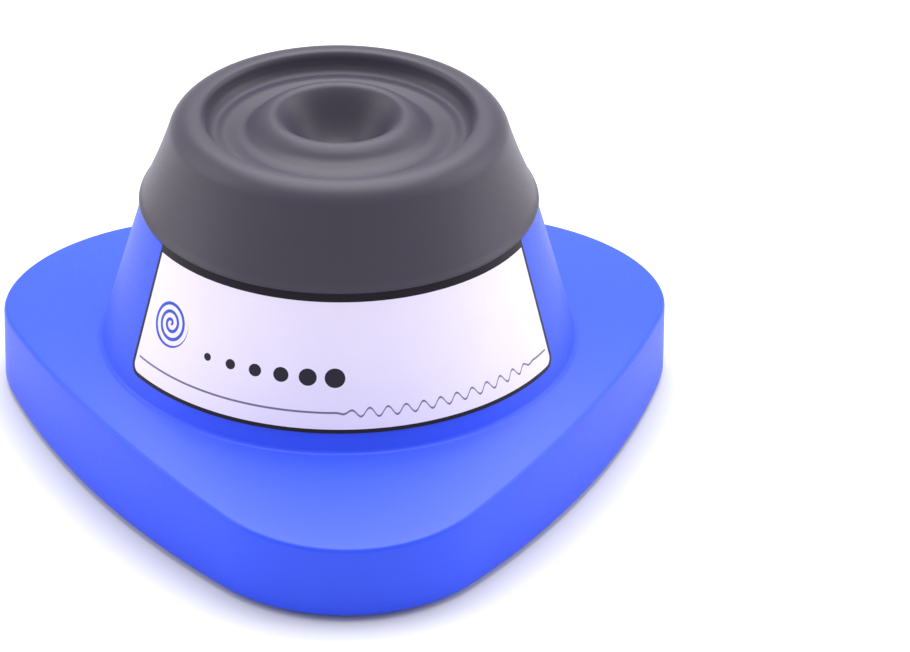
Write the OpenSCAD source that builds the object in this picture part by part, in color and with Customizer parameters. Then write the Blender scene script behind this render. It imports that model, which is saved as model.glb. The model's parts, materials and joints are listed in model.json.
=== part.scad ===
// Touch-start vortex mixer for test tubes: a three-cornered housing with a round tower, a rubber
// cap whose middle cup orbits, and a small motor on a sprung bracket that starts when pressed.
// Millimetres, +Z up. The origin is on the bench, under the middle of the housing's footprint.
// The front corner points along -Y and the power inlet is at the back, along +Y.

/* [Housing] */
// Spindle axis to the outside of a rounded corner
corner_reach = 70.9; // [66:0.1:86]
// Radius of the three rounded corners
corner_round = 31; // [26:0.5:34]
// Radius of the three bowed sides
side_bow_r = 190; // [170:1:260]
// Height of the side wall at a corner
wall_h = 13.9; // [13:0.1:17]
// Rise of the brim for each millimetre towards the spindle
brim_rise = 0.213; // [0.15:0.001:0.25]
// Radius of the tower where it leaves the brim
tower_foot_r = 44.7; // [40:0.1:46]
// Height of that place above the lower edge
tower_foot_h = 23; // [21:0.1:25]
// Radius of the tower's top edge
tower_top_r = 37.3; // [35:0.1:41]
// Hollow fillet between tower and brim
tower_fillet = 3.2; // [1:0.1:5]
// Thickness of the moulded walls
wall = 2.5; // [2:0.1:3]
// Thickness of the bottom cover
cover_t = 2.4; // [2:0.1:3]
// Gap around the bottom cover
cover_gap = 0.25; // [0.1:0.05:0.5]
// Stand-out of the feet below the housing
foot_gap = 1.2; // [0.8:0.1:3]
// Radius of a foot
foot_r = 9; // [6:0.25:10]

/* [Rubber cap] */
// Height of the cap's lower edge above the housing's lower edge
cap_h = 48.3; // [47.5:0.1:60]
// Radius of the cap's lower edge
cap_r = 38; // [37.9:0.1:43]
// Radius of the rim's crest
rim_r = 26.8; // [26.5:0.1:28.5]
// Rounding of the rim's outer side
rim_round = 5.7; // [5:0.1:6]
// Height of the rim's crest above the cap's lower edge
rim_h = 18; // [17:0.1:20]
// Thickness of the cap's side
rubber_t = 2.2; // [1.8:0.1:2.6]
// Outer radius of the orbiting cup
cup_r = 17; // [16:0.1:17.5]
// Radius of the cup's crest
cup_crest_r = 13.6; // [13:0.1:14.5]
// Height of the cup's crest above the cap's lower edge
cup_crest_h = 16.7; // [16:0.1:18]
// Radius of the bowl's mouth
bowl_r = 10.6; // [9:0.1:11.5]
// Height of the bowl's bottom above the cap's lower edge
bowl_h = 7; // [6.8:0.1:9]
// Thickness of rubber under the bowl
bowl_floor = 1.6; // [1.2:0.1:2]

/* [Drive] */
// Offset of the cup's pin from the spindle, half the orbit
orbit_r = 2; // [1:0.1:2.4]
// Downward travel that starts the motor
press_travel = 1.5; // [0.8:0.1:1.6]
// Radius of the motor's can
can_r = 12.2; // [10:0.1:13]
// Length of the motor's can
can_len = 30.8; // [25:0.1:31]
// Radius of the motor shaft
shaft_r = 1; // [1:0.05:1.6]
// Outer radius of the cup bearing
bearing_r = 7; // [6.5:0.1:8]
// Radius of the eccentric pin
pin_r = 2.5; // [2:0.1:3]
// Width of the cup bearing
bearing_w = 5; // [4:0.1:6]
// Spindle axis to the guide screws
guide_reach = 22; // [20:0.1:23]
// Radius of a guide screw's smooth shank
guide_r = 1.9; // [1.6:0.05:2.2]
// Running clearance of what slides or turns
run_gap = 0.08; // [0.04:0.01:0.1]
// Length of the press springs at rest
spring_h = 6; // [5:0.1:8]

/* [Electrics] */
// Radius of the power inlet's hole
inlet_r = 2.8; // [2.7:0.05:3.2]
// Radius of the housing's hole in front of the inlet
inlet_mouth_r = 5; // [4.6:0.1:5.4]
// Length of the inlet socket
inlet_len = 14; // [11:0.5:15]
// Width of the control board
board_w = 34; // [30:1:36]
// Depth of the control board
board_d = 21; // [18:1:22]
// Width of the limit switch
switch_w = 12.8; // [11:0.1:13]

/* [Hidden] */
$fn = 96;

// ---- Outline of the housing: three corner arcs joined by three tangent bowed sides ----
corners = [-90, 30, 150];
corner_mid = corner_reach - corner_round;
bow_mid = -corner_mid / 2 + sqrt(pow(side_bow_r - corner_round, 2) - 0.75 * pow(corner_mid, 2));
side_reach = side_bow_r - bow_mid;
// Half angle that a corner arc turns through, up to its tangent point with a side
corner_half = 60 - atan2(corner_mid * sin(60), bow_mid + corner_mid / 2);
corner_steps = 12;
side_steps = 8;

function polar(r, a) = [r * cos(a), r * sin(a)];
function arc(mid, r, from, to, steps) =
    [for (i = [0:steps]) mid + polar(r, from + (to - from) * i / steps)];
// The outline drawn in by a distance, counter-clockwise from the front corner's first point
function outline(inset) = [
    for (a = corners)
    each concat(
        arc(polar(corner_mid, a), corner_round - inset, a - corner_half, a + corner_half, corner_steps),
        [for (i = [1:side_steps - 1])
            polar(-bow_mid, a + 60)
            + polar(side_bow_r - inset, a + corner_half + (120 - 2 * corner_half) * i / side_steps)]
    )
];

// ---- Heights, from the bench ----
edge_z = foot_gap;
cap_z = edge_z + cap_h;
tower_foot_z = edge_z + tower_foot_h;
cover_z = edge_z + 0.6;
cover_top = cover_z + cover_t;
insert_top = cap_z + bowl_h - bowl_floor;
insert_roof = 1.5;
bearing_top = insert_top - insert_roof;
bearing_low = bearing_top - bearing_w;
hub_top = bearing_low - 0.8;
hub_h = 6.4;
hub_low = hub_top - hub_h;
hub_r = 7;
// Clearance of what is pressed or bonded into place
seat_gap = 0.03;
// Clear band of tower between the fillet and the label
label_gap = 1.9;
plate_t = 2;
plate_top = hub_low - 0.5;
can_top = plate_top - plate_t;
can_low = can_top - can_len;
column_top = can_top - spring_h;
column_r = 4;
head_gap = 0.15;
spindle_y = (corner_reach - side_reach) / 2;

module on_spindle() { translate([0, spindle_y, 0]) children(); }
module on_cup_axis() { translate([0, orbit_r, 0]) children(); }
module at_corners(reach) { for (a = corners) rotate(a) translate([reach, 0, 0]) children(); }
module tube(outer, inner, h) {
    difference() {
        cylinder(r = outer, h = h);
        translate([0, 0, -1]) cylinder(r = inner, h = h + 2);
    }
}
module block(size, at) { translate([at[0] - size[0] / 2, at[1] - size[1] / 2, at[2]]) cube(size); }

// ---- Tower and brim as one turned envelope, which a wall thickness draws in ----
tower_lean = atan((tower_foot_r - tower_top_r) / (cap_h - tower_foot_h));
brim_lean = atan(brim_rise);
tower_out = polar(1, tower_lean);
brim_out = polar(1, 90 - brim_lean);
tower_at = [tower_foot_r, tower_foot_z];
brim_at = [corner_reach, edge_z + wall_h];
// Where two lines cross, each given by its normal and its distance from the origin
function crossing(n1, d1, n2, d2) =
    [d1 * n2[1] - d2 * n1[1], n1[0] * d2 - n2[0] * d1] / (n1[0] * n2[1] - n1[1] * n2[0]);
fillet_mid = crossing(
    tower_out, tower_out * tower_at + tower_fillet,
    brim_out, brim_out * brim_at + tower_fillet
);
function fillet_points(inset) =
    arc(fillet_mid, tower_fillet + inset, 270 - brim_lean, 180 + tower_lean, 8);
fillet_top_z = fillet_mid[1] - tower_fillet * sin(tower_lean);
function tower_r_at(z, inset) =
    tower_foot_r - inset / cos(tower_lean) - (z - tower_foot_z) * tan(tower_lean);
function brim_z_at(r, inset) = brim_at[1] + (brim_at[0] - r) * brim_rise - inset / cos(brim_lean);
far_r = corner_reach + 5;

// ---- The cap's side: a straight line tangent to the rim's rounding ----
rim_mid = [rim_r, cap_z + rim_h - rim_round];
side_span = rim_mid - [cap_r, cap_z];
side_dir = atan2(side_span[1], side_span[0]) - asin(rim_round / norm(side_span));
side_lean = side_dir - 90;
cap_seam = 0.4;
rubber_fit = 0.1;
neck_off = (rubber_t + rubber_fit) / cos(side_lean);
function cap_r_at(z) = cap_r - (z - cap_z) * tan(side_lean);
function neck_r_at(z) = cap_r_at(z) - neck_off;
deck_z = cap_z + rim_h - rim_round - 2;
deck_hole_r = rim_r - 1.8;

module turned_body(inset, floor_z, top_z) {
    step_z = cap_z - cap_seam - inset;
    rotate_extrude() polygon(concat(
        [[0, floor_z], [far_r, floor_z], [far_r, brim_z_at(far_r, inset)]],
        fillet_points(inset),
        [[tower_r_at(step_z, inset), step_z], [neck_r_at(step_z) - inset, step_z],
         [neck_r_at(top_z) - inset, top_z], [0, top_z]]
    ));
}
module housing_body(inset, floor_z, top_z) {
    intersection() {
        translate([0, 0, floor_z]) linear_extrude(top_z - floor_z) polygon(outline(inset));
        turned_body(inset, floor_z, top_z);
    }
}

boss_reach = tower_foot_r - 2.4;
boss_r = 4;
screw_pilot_r = 1.25;
foot_reach = corner_reach - wall - foot_r - 2.2;
board_t = 1.6;
board_post_h = 1.6;
inlet_box_w = 9;
inlet_box_h = 8.4;
inlet_z = cover_top + board_post_h + board_t + inlet_box_h / 2;

module upper_housing() {
    color("#3f63e8") difference() {
        union() {
            difference() {
                housing_body(0, edge_z, deck_z);
                housing_body(wall, edge_z - 1, deck_z - wall);
            }
            intersection() {
                at_corners(boss_reach) translate([0, 0, cover_top]) cylinder(r = boss_r, h = cap_h);
                turned_body(wall / 2, cover_top, deck_z - wall);
            }
        }
        translate([0, 0, deck_z - wall - 1]) cylinder(r = deck_hole_r, h = wall + 2);
        at_corners(boss_reach) translate([0, 0, cover_top - 1]) cylinder(r = screw_pilot_r, h = 12);
        translate([0, side_reach - wall - 6, inlet_z])
            rotate([-90, 0, 0]) cylinder(r = inlet_mouth_r, h = wall + 12);
    }
}

// ---- Bottom cover with the guide columns, the switch pillar and the board's posts ----
cover_screw_r = 1.6;
ballast_t = 4.5;
ballast_gap = 3;
ballast_screw_reach = boss_reach - 11.5;
ballast_z = cover_top + 0.2;
pillar_y = guide_reach;
pillar_d = 5.8;
switch_h = 6.5;
plunger_out = 1.4;
free_gap = 0.65;
finger_r = 2;
finger_low = can_top - 6.2;
switch_top = finger_low - free_gap - plunger_out;
pillar_top = switch_top - switch_h;
pillar_tab = 2.4;
tab_back = pillar_y + pillar_d / 2 + pillar_tab;
switch_hole_x = switch_w / 4;
board_y = side_reach - wall - 1.2 - board_d / 2;
board_low = cover_top + board_post_h;
board_top = board_low + board_t;
board_hole = [board_w / 2 - 3, board_d / 2 - 3];

module bottom_cover() {
    color("#3a3d46") difference() {
        union() {
            translate([0, 0, cover_z]) linear_extrude(cover_t) polygon(outline(wall + cover_gap));
            at_corners(guide_reach) translate([0, 0, cover_top - 0.5])
                cylinder(r = column_r, h = column_top - cover_top + 0.5);
            block([switch_w + 1.2, pillar_d, pillar_top - cover_top + 0.5], [0, pillar_y, cover_top - 0.5]);
            block([switch_w + 1.2, pillar_tab, pillar_top - cover_top + switch_h],
                [0, pillar_y + (pillar_d + pillar_tab) / 2, cover_top - 0.5]);
            for (x = [-1, 1]) for (y = [-1, 1])
                translate([x * board_hole[0], board_y + y * board_hole[1], cover_top - 0.5])
                    cylinder(r = 2.2, h = board_post_h + 0.5);
        }
        at_corners(guide_reach) translate([0, 0, column_top - 9]) cylinder(r = guide_r - 0.4, h = 10);
        at_corners(boss_reach) translate([0, 0, cover_z - 1]) {
            cylinder(r = cover_screw_r, h = cover_t + 2);
            cylinder(r = 3.2, h = 2.2);
        }
        at_corners(foot_reach) translate([0, 0, cover_z - 1]) cylinder(r = foot_r + 0.1, h = 1.9);
        at_corners(ballast_screw_reach) translate([0, 0, cover_top - 1.6]) cylinder(r = 1.25, h = 3);
        for (x = [-1, 1]) {
            translate([x * board_hole[0], board_y - board_hole[1], cover_top - 1.4]) cylinder(r = 0.9, h = 4);
            translate([x * switch_hole_x, pillar_y, pillar_top + switch_h / 2])
                rotate([-90, 0, 0]) cylinder(r = 0.8, h = 12);
        }
    }
}

module front_label() {
    label_t = 0.3;
    label_half = 62.5;
    low = fillet_top_z + label_gap;
    high = cap_z - cap_seam - 0.3;
    function at(z, out) = [tower_r_at(z, 0) + seat_gap + out, z];
    color("#e6e0fa") rotate_extrude(angle = 2 * label_half, start = -90 - label_half)
        polygon([at(low, 0), at(low, label_t), at(high, label_t), at(high, 0)]);
}

// ---- Steel ballast, cut clear of the motor, the columns, the bosses and the board ----
module ballast_plate() {
    color("#8d9096") difference() {
        translate([0, 0, ballast_z]) linear_extrude(ballast_t) polygon(outline(wall + ballast_gap));
        translate([0, 0, ballast_z - 1]) {
            cylinder(r = can_r + 3, h = ballast_t + 2);
            at_corners(guide_reach) cylinder(r = column_r + 0.8, h = ballast_t + 2);
            at_corners(boss_reach) cylinder(r = boss_r + 0.8, h = ballast_t + 2);
            at_corners(ballast_screw_reach) cylinder(r = 1.7, h = ballast_t + 2);
            translate([-board_w / 2 - 2, can_r - 4, 0]) cube([board_w + 4, corner_reach, ballast_t + 2]);
        }
    }
}
module pan_screw(shank_r, shank_len, head_r, head_h) {
    difference() {
        union() {
            translate([0, 0, -shank_len]) cylinder(r = shank_r, h = shank_len + 0.1);
            cylinder(r = head_r, h = head_h);
        }
        translate([0, 0, head_h - 0.7]) linear_extrude(1) {
            square([head_r, 0.6], center = true);
            square([0.6, head_r], center = true);
        }
    }
}
module ballast_screws() {
    color("#b9bcc2") at_corners(ballast_screw_reach)
        translate([0, 0, ballast_z + ballast_t]) pan_screw(1.2, ballast_t + 1.6, 2.8, 1.6);
}
module cover_screws() {
    color("#b9bcc2") at_corners(boss_reach)
        translate([0, 0, cover_z + 1.2]) mirror([0, 0, 1]) pan_screw(1.2, 9.5, 2.9, 1.1);
}
module foot(a) {
    color("#2f3136") rotate(a) translate([foot_reach, 0, 0]) rotate_extrude() polygon([
        [0, 0.5], [foot_r - 4, 0.5], [foot_r - 2.6, 0], [foot_r - 0.6, 0], [foot_r - 0.2, 0.4],
        [foot_r, 1], [foot_r, cover_z + 0.9], [0, cover_z + 0.9]
    ]);
}
module foot_front() { foot(corners[0]); }
module foot_right() { foot(corners[1]); }
module foot_left() { foot(corners[2]); }

// ---- Rubber cap: fixed side and rim, thin folded ring, and orbiting cup ----
fold_out_r = rim_r - 2.2;
fold_in_r = cup_r + 0.3;
fold_z = cap_z + rim_h - 4.4;
fold_t = 1.3;
module rubber_skirt() {
    inner_round = 3;
    low_z = cap_z;
    top_z = deck_z + rubber_fit;
    color("#4b4952") rotate_extrude() polygon(concat(
        [[cap_r - rubber_t / cos(side_lean), low_z], [cap_r - 0.5, low_z], [cap_r, low_z + 0.5]],
        arc(rim_mid, rim_round, side_lean, 90, 10),
        arc([rim_r, cap_z + rim_h - inner_round], inner_round, 96, 137, 5),
        [[fold_out_r + 0.1, fold_z], [fold_out_r + 0.1, fold_z - fold_t],
         [deck_hole_r + 0.4, fold_z - fold_t], [deck_hole_r + 0.4, top_z],
         [neck_r_at(top_z) + rubber_fit, top_z]]
    ));
}
module rubber_diaphragm() {
    color("#403e47") difference() {
        rotate_extrude() polygon([
            [cup_r - orbit_r - 1, fold_z - fold_t - 0.2], [fold_out_r, fold_z - fold_t], [fold_out_r, fold_z],
            [fold_out_r - 1, fold_z], [fold_out_r - 3.2, fold_z + 1.2], [fold_out_r - 5, fold_z + 0.3],
            [cup_r - orbit_r - 1, fold_z - 0.2]
        ]);
        on_cup_axis() translate([0, 0, fold_z - 5]) cylinder(r = fold_in_r, h = 10);
    }
}
module rubber_cup() {
    crest_z = cap_z + cup_crest_h;
    bowl_z = cap_z + bowl_h;
    color("#4b4952") on_cup_axis() rotate_extrude() polygon(concat(
        [[0, insert_top], [cup_crest_r - 0.4, insert_top], [cup_r - 1.6, fold_z - 2.4],
         [cup_r, fold_z - fold_t], [cup_r, fold_z - 0.1], [cup_r - 0.8, fold_z + 0.7]],
        arc([cup_crest_r, crest_z - 2], 2, 30, 140, 8),
        [[bowl_r, crest_z - 2.2], [bowl_r - 1.8, crest_z - 4.4], [bowl_r - 4.2, bowl_z + 2.2],
         [bowl_r - 6.4, bowl_z + 0.6], [2, bowl_z], [0, bowl_z]]
    ));
}
module cup_insert() {
    color("#d8d8d4") on_cup_axis() rotate_extrude() polygon([
        [0, bearing_top], [bearing_r, bearing_top], [bearing_r, bearing_low], [bearing_r + 2.3, bearing_low],
        [bearing_r + 2.3, insert_top - 1.6], [cup_crest_r - 0.4, insert_top - 1.6],
        [cup_crest_r - 0.4, insert_top], [0, insert_top]
    ]);
}

// ---- Cup bearing ----
race_t = 1.3;
ball_mid_r = (bearing_r + pin_r) / 2;
ball_r = (bearing_r - pin_r) / 2 - 0.75;
ball_count = 7;
bearing_mid_z = bearing_low + bearing_w / 2;
module race(inner, outer) {
    color("#c9ccd1") on_cup_axis() difference() {
        translate([0, 0, bearing_low]) tube(outer, inner, bearing_w);
        translate([0, 0, bearing_mid_z]) rotate_extrude()
            translate([ball_mid_r, 0]) circle(r = ball_r + run_gap, $fn = 48);
    }
}
module bearing_outer_race() { race(bearing_r - race_t, bearing_r); }
module bearing_inner_race() { race(pin_r, pin_r + race_t); }
module bearing_balls() {
    color("#e2e4e8") on_cup_axis() for (i = [0:ball_count - 1])
        rotate(i * 360 / ball_count) translate([ball_mid_r, 0, bearing_mid_z]) sphere(r = ball_r, $fn = 32);
}

// ---- Eccentric on the motor shaft ----
shaft_top = hub_low + 5;
module eccentric_hub() {
    color("#c8a452") difference() {
        union() {
            translate([0, 0, hub_low]) cylinder(r = hub_r, h = hub_h);
            on_cup_axis() translate([0, 0, hub_top - 0.1]) cylinder(r = pin_r + 0.7, h = 0.9);
            on_cup_axis() translate([0, 0, hub_top]) cylinder(r = pin_r, h = 0.8 + bearing_w - 0.2);
        }
        translate([0, 0, hub_low - 1]) cylinder(r = shaft_r, h = shaft_top - hub_low + 1.02);
        translate([0, 0, hub_low + 3]) rotate([0, 90, 0]) cylinder(r = 1.25, h = hub_r + 1);
    }
}
module counterweight() {
    weight_r = 12;
    weight_h = 4.2;
    color("#a9abb0") translate([0, 0, hub_low + 1]) difference() {
        cylinder(r = weight_r, h = weight_h);
        translate([0, 0, -1]) cylinder(r = hub_r + seat_gap, h = weight_h + 2);
        translate([-weight_r - 1, -1.5, -1]) cube([2 * weight_r + 2, weight_r + 4, weight_h + 2]);
    }
}
module hub_set_screw() {
    color("#55575c") translate([shaft_r, 0, hub_low + 3]) rotate([0, 90, 0]) difference() {
        cylinder(r = 1.2, h = hub_r - shaft_r - 0.4);
        translate([0, 0, hub_r - shaft_r - 1.6]) cylinder(r = 0.7, h = 2, $fn = 6);
    }
}

// ---- Motor ----
can_wall = 1;
end_cap_h = 4;
core_r = can_r - can_wall - 2 - 0.5;
core_low = can_low + end_cap_h + 4.5;
core_h = can_len - end_cap_h - 4.5 - 6;
boss_h = 1.7;
rear_boss_h = 1.8;
commutator_r = 2.4;
end_cap_wall = 1.4;
terminal_y = can_r - 4;
motor_screw_x = can_r - 4.2;
module motor_shaft() {
    color("#d5d8dc") translate([0, 0, can_low - rear_boss_h + 0.6])
        cylinder(r = shaft_r, h = shaft_top - can_low + rear_boss_h - 0.6);
}
module armature_core() {
    color("#7d8087") difference() {
        translate([0, 0, core_low]) cylinder(r = core_r, h = core_h);
        translate([0, 0, core_low - 1]) cylinder(r = shaft_r, h = core_h + 2);
        for (a = [0, 120, 240])
            rotate(a) translate([core_r - 3.4, -0.7, core_low - 1]) cube([4, 1.4, core_h + 2]);
    }
}
module armature_windings() {
    color("#b5652d") for (z = [core_low - 2.6, core_low + core_h])
        translate([0, 0, z]) tube(core_r - 1.2, shaft_r, 2.6);
}
module commutator() {
    color("#c98a4a") translate([0, 0, can_low + 1.4])
        tube(commutator_r, shaft_r, core_low - 2.8 - can_low - 1.4);
}
module motor_can() {
    color("#b4b8bd") difference() {
        union() {
            translate([0, 0, can_low]) cylinder(r = can_r, h = can_len);
            translate([0, 0, can_top - 0.5]) cylinder(r = 3, h = boss_h + 0.5);
        }
        translate([0, 0, can_low - 1]) cylinder(r = can_r - can_wall, h = can_len - can_wall + 1);
        translate([0, 0, can_low]) cylinder(r = shaft_r + run_gap, h = can_len + boss_h + 2);
        for (s = [-1, 1])
            translate([s * motor_screw_x, 0, can_top - can_wall - 1]) cylinder(r = 1.25, h = can_wall + 2);
    }
}
module motor_magnets() {
    outer = can_r - can_wall - seat_gap;
    color("#4a4c50") for (a = [-60, 120])
        translate([0, 0, core_low]) rotate_extrude(angle = 120, start = a) polygon([
            [outer - 2, 0], [outer, 0], [outer, core_h], [outer - 2, core_h]
        ]);
}
module motor_end_cap() {
    color("#e8e6df") difference() {
        union() {
            translate([0, 0, can_low]) cylinder(r = can_r - can_wall, h = 1.2);
            translate([0, 0, can_low]) tube(can_r - can_wall, can_r - can_wall - end_cap_wall, end_cap_h);
            translate([0, 0, can_low - rear_boss_h]) cylinder(r = 5, h = rear_boss_h + 0.1);
        }
        translate([0, 0, can_low - rear_boss_h + 0.5]) cylinder(r = shaft_r + run_gap, h = 6);
        for (x = [-1, 1]) block([2.2, 0.8, 4], [x * 4.5, terminal_y, can_low - 1]);
    }
}
module motor_brushes() {
    inner = commutator_r + 0.1;
    outer = can_r - can_wall - end_cap_wall - 0.1;
    color("#b98b4d") for (s = [-1, 1])
        block([outer - inner, 2, 2.2], [s * (inner + outer) / 2, 0, can_low + 1.5]);
}
module motor_terminals() {
    color("#d9b36a") for (s = [-1, 1]) block([2, 0.6, 3], [s * 4.5, terminal_y, can_low - 1.6]);
}
module motor_screws() {
    color("#b9bcc2") for (s = [-1, 1]) translate([s * motor_screw_x, 0, plate_top - 1.3]) difference() {
        union() {
            translate([0, 0, -1.6]) cylinder(r = 1.2, h = 1.7);
            cylinder(r1 = 1.2, r2 = 2.4, h = 1.2);
        }
        translate([-1.5, -0.3, 0.7]) cube([3, 0.6, 1]);
    }
}
module motor_bracket() {
    arm_w = 9;
    color("#6f7480") difference() {
        union() {
            translate([0, 0, can_top]) linear_extrude(plate_t) {
                circle(r = can_r + 2.5);
                for (a = corners) rotate(a) translate([0, -arm_w / 2]) square([guide_reach, arm_w]);
                at_corners(guide_reach) circle(r = arm_w / 2);
                translate([-arm_w / 2, 0]) square([arm_w, pillar_y]);
                translate([0, pillar_y]) circle(r = arm_w / 2);
            }
            translate([0, 0, can_top - 5]) tube(can_r + 1.6, can_r + seat_gap, 5.1);
            translate([0, pillar_y, finger_low]) cylinder(r = finger_r, h = can_top - finger_low + 0.1);
        }
        translate([0, 0, can_top - 1]) cylinder(r = 3, h = plate_t + 2);
        at_corners(guide_reach) translate([0, 0, can_top - 1])
            cylinder(r = guide_r + run_gap, h = plate_t + 2);
        for (s = [-1, 1]) translate([s * motor_screw_x, 0, 0]) {
            translate([0, 0, can_top - 1]) cylinder(r = 1.3, h = plate_t + 2);
            translate([0, 0, plate_top - 1.3]) cylinder(r1 = 1.3, r2 = 2.6, h = 1.31);
        }
    }
}

// ---- Sprung guides ----
module guide_screws() {
    head_z = plate_top + head_gap;
    color("#c4c7cc") at_corners(guide_reach) difference() {
        union() {
            translate([0, 0, column_top - 8]) cylinder(r = guide_r - 0.5, h = 8.1);
            translate([0, 0, column_top]) cylinder(r = guide_r, h = head_z - column_top + 0.1);
            translate([0, 0, head_z]) cylinder(r = guide_r + 1.6, h = 2);
        }
        translate([0, 0, head_z + 0.8]) cylinder(r = 1.2, h = 2, $fn = 6);
    }
}
spring_wire_r = 0.35;
spring_mid_r = guide_r + 0.9;
spring_turns = 4.5;
module coil_spring(low, high) {
    rings = 72;
    sides = 6;
    rise = high - low - 2 * spring_wire_r - 0.1;
    points = [
        for (i = [0:rings]) for (k = [0:sides - 1])
        let (turn = 360 * spring_turns * i / rings, rr = spring_mid_r + spring_wire_r * cos(60 * k))
        [rr * cos(turn), rr * sin(turn),
         low + spring_wire_r + 0.05 + rise * i / rings + spring_wire_r * sin(60 * k)]
    ];
    sides_faces = [
        for (i = [0:rings - 1]) for (k = [0:sides - 1])
        [i * sides + k, (i + 1) * sides + k, (i + 1) * sides + (k + 1) % sides, i * sides + (k + 1) % sides]
    ];
    ends = [[for (k = [0:sides - 1]) k], [for (k = [sides - 1:-1:0]) rings * sides + k]];
    polyhedron(points, concat(sides_faces, ends));
}
module press_springs() { color("#aeb2b8") at_corners(guide_reach) coil_spring(column_top, can_top); }

// ---- Limit switch ----
switch_d = pillar_d;
module limit_switch() {
    color("#23252b") difference() {
        union() {
            block([switch_w, switch_d, switch_h], [0, pillar_y, pillar_top]);
            for (s = [-1, 1]) block([1.2, 0.6, 2.2], [s * (switch_w / 2 + 0.5), pillar_y, pillar_top + 1]);
        }
        for (x = [-1, 1]) translate([x * switch_hole_x, pillar_y - 5, pillar_top + switch_h / 2])
            rotate([-90, 0, 0]) cylinder(r = 0.95, h = 12);
        block([3 + 2 * run_gap, 2 + 2 * run_gap, 3], [0, pillar_y, switch_top - 2.4]);
    }
}
module switch_plunger() {
    color("#b23a32") block([3, 2, plunger_out + 1.2], [0, pillar_y, switch_top - 1.2]);
}
module switch_screws() {
    color("#b9bcc2") for (x = [-1, 1])
        translate([x * switch_hole_x, pillar_y - switch_d / 2, pillar_top + switch_h / 2])
            rotate([90, 0, 0]) pan_screw(0.75, switch_d + pillar_tab - 0.3, 1.5, 0.9);
}

// ---- Control board and power inlet ----
module control_board() {
    color("#2f7d4f") difference() {
        block([board_w, board_d, board_t], [0, board_y, board_low]);
        for (x = [-1, 1]) translate([x * board_hole[0], board_y - board_hole[1], board_low - 1])
            cylinder(r = 1.2, h = board_t + 2);
    }
}
module board_parts() {
    front = board_y - board_d / 2;
    color("#30343a") {
        translate([-11, board_y + 4, board_top]) cylinder(r = 3.6, h = 7);
        block([6, 4.5, 2.2], [10.5, board_y + 5, board_top]);
        block([8, 4.4, 4.6], [0, front + 3, board_top]);
        block([4, 2, 1], [10, board_y, board_top]);
    }
}
module board_screws() {
    color("#b9bcc2") for (x = [-1, 1])
        translate([x * board_hole[0], board_y - board_hole[1], board_top])
            pan_screw(0.85, board_t + 2.4, 1.9, 1.2);
}
inlet_face_y = side_reach - wall - 0.6;
module inlet_socket() {
    color("#1f2024") difference() {
        translate([-inlet_box_w / 2, inlet_face_y - inlet_len, board_top])
            cube([inlet_box_w, inlet_len, inlet_box_h]);
        translate([0, inlet_face_y - inlet_len + 3, inlet_z])
            rotate([-90, 0, 0]) cylinder(r = inlet_r, h = inlet_len);
    }
}
module inlet_pin() {
    color("#d6d9dd") translate([0, inlet_face_y - inlet_len + 3, inlet_z]) rotate([-90, 0, 0]) {
        cylinder(r = 1, h = inlet_len - 4.2);
        translate([0, 0, inlet_len - 4.2]) cylinder(r1 = 1, r2 = 0.6, h = 0.5);
    }
}
// A lead is a round rod swept along its points, with one ring of eight corners at each
lead_r = 0.6;
function unit(v) = v / norm(v);
function along(points, i) = unit(
    (i < len(points) - 1 ? unit(points[i + 1] - points[i]) : [0, 0, 0])
    + (i > 0 ? unit(points[i] - points[i - 1]) : [0, 0, 0])
);
module lead(points) {
    sides = 8;
    last = len(points) - 1;
    rings = [
        for (i = [0:last])
        let (t = along(points, i), u = unit(cross(t, [0.3, -0.2, 0.93])), v = cross(t, u))
        for (k = [0:sides - 1]) points[i] + lead_r * (u * cos(k * 360 / sides) + v * sin(k * 360 / sides))
    ];
    skin = [
        for (i = [0:last - 1]) for (k = [0:sides - 1])
        let (n = (k + 1) % sides) [i * sides + k, i * sides + n, (i + 1) * sides + n, (i + 1) * sides + k]
    ];
    ends = [[for (k = [sides - 1:-1:0]) k], [for (k = [0:sides - 1]) last * sides + k]];
    polyhedron(rings, concat(skin, ends), convexity = 4);
}
plug_y = board_y - board_d / 2 + 0.8;
plug_z = board_top + 2.4;
module motor_leads() {
    out_x = switch_w / 2 + 3.4;
    color("#c2362f") for (s = [-1, 1]) lead([
        [s * 4.5, 9.2, can_low - 0.7], [s * 5.6, 11, can_low - 1],
        [s * (out_x - 1), can_r + 3, can_low - 1.4], [s * out_x, can_r + 6, can_low - 1.2],
        [s * out_x, tab_back - 1, can_low], [s * (out_x - 1.2), tab_back + 1.2, can_low + 0.8],
        [s * 5.4, plug_y - 1.9, plug_z + 0.2], [s * 3.6, plug_y - 0.9, plug_z], [s * 3.6, plug_y, plug_z]
    ]);
}
module switch_leads() {
    out_x = switch_w / 2 + 1.8;
    color("#2b2d33") for (s = [-1, 1]) lead([
        [s * out_x, pillar_y, pillar_top + 1.6], [s * out_x, pillar_y + 0.4, pillar_top - 1],
        [s * out_x, pillar_y + 2, pillar_top - 5], [s * out_x, tab_back + 0.4, plug_z + 7],
        [s * (out_x - 1.2), tab_back + 1.2, plug_z + 4], [s * 4.4, plug_y - 1.9, plug_z + 2.4],
        [s * 2.4, plug_y - 1.4, plug_z + 0.9], [s * 1.4, plug_y - 0.8, plug_z + 0.1],
        [s * 1.4, plug_y, plug_z + 0.1]
    ]);
}

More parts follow.
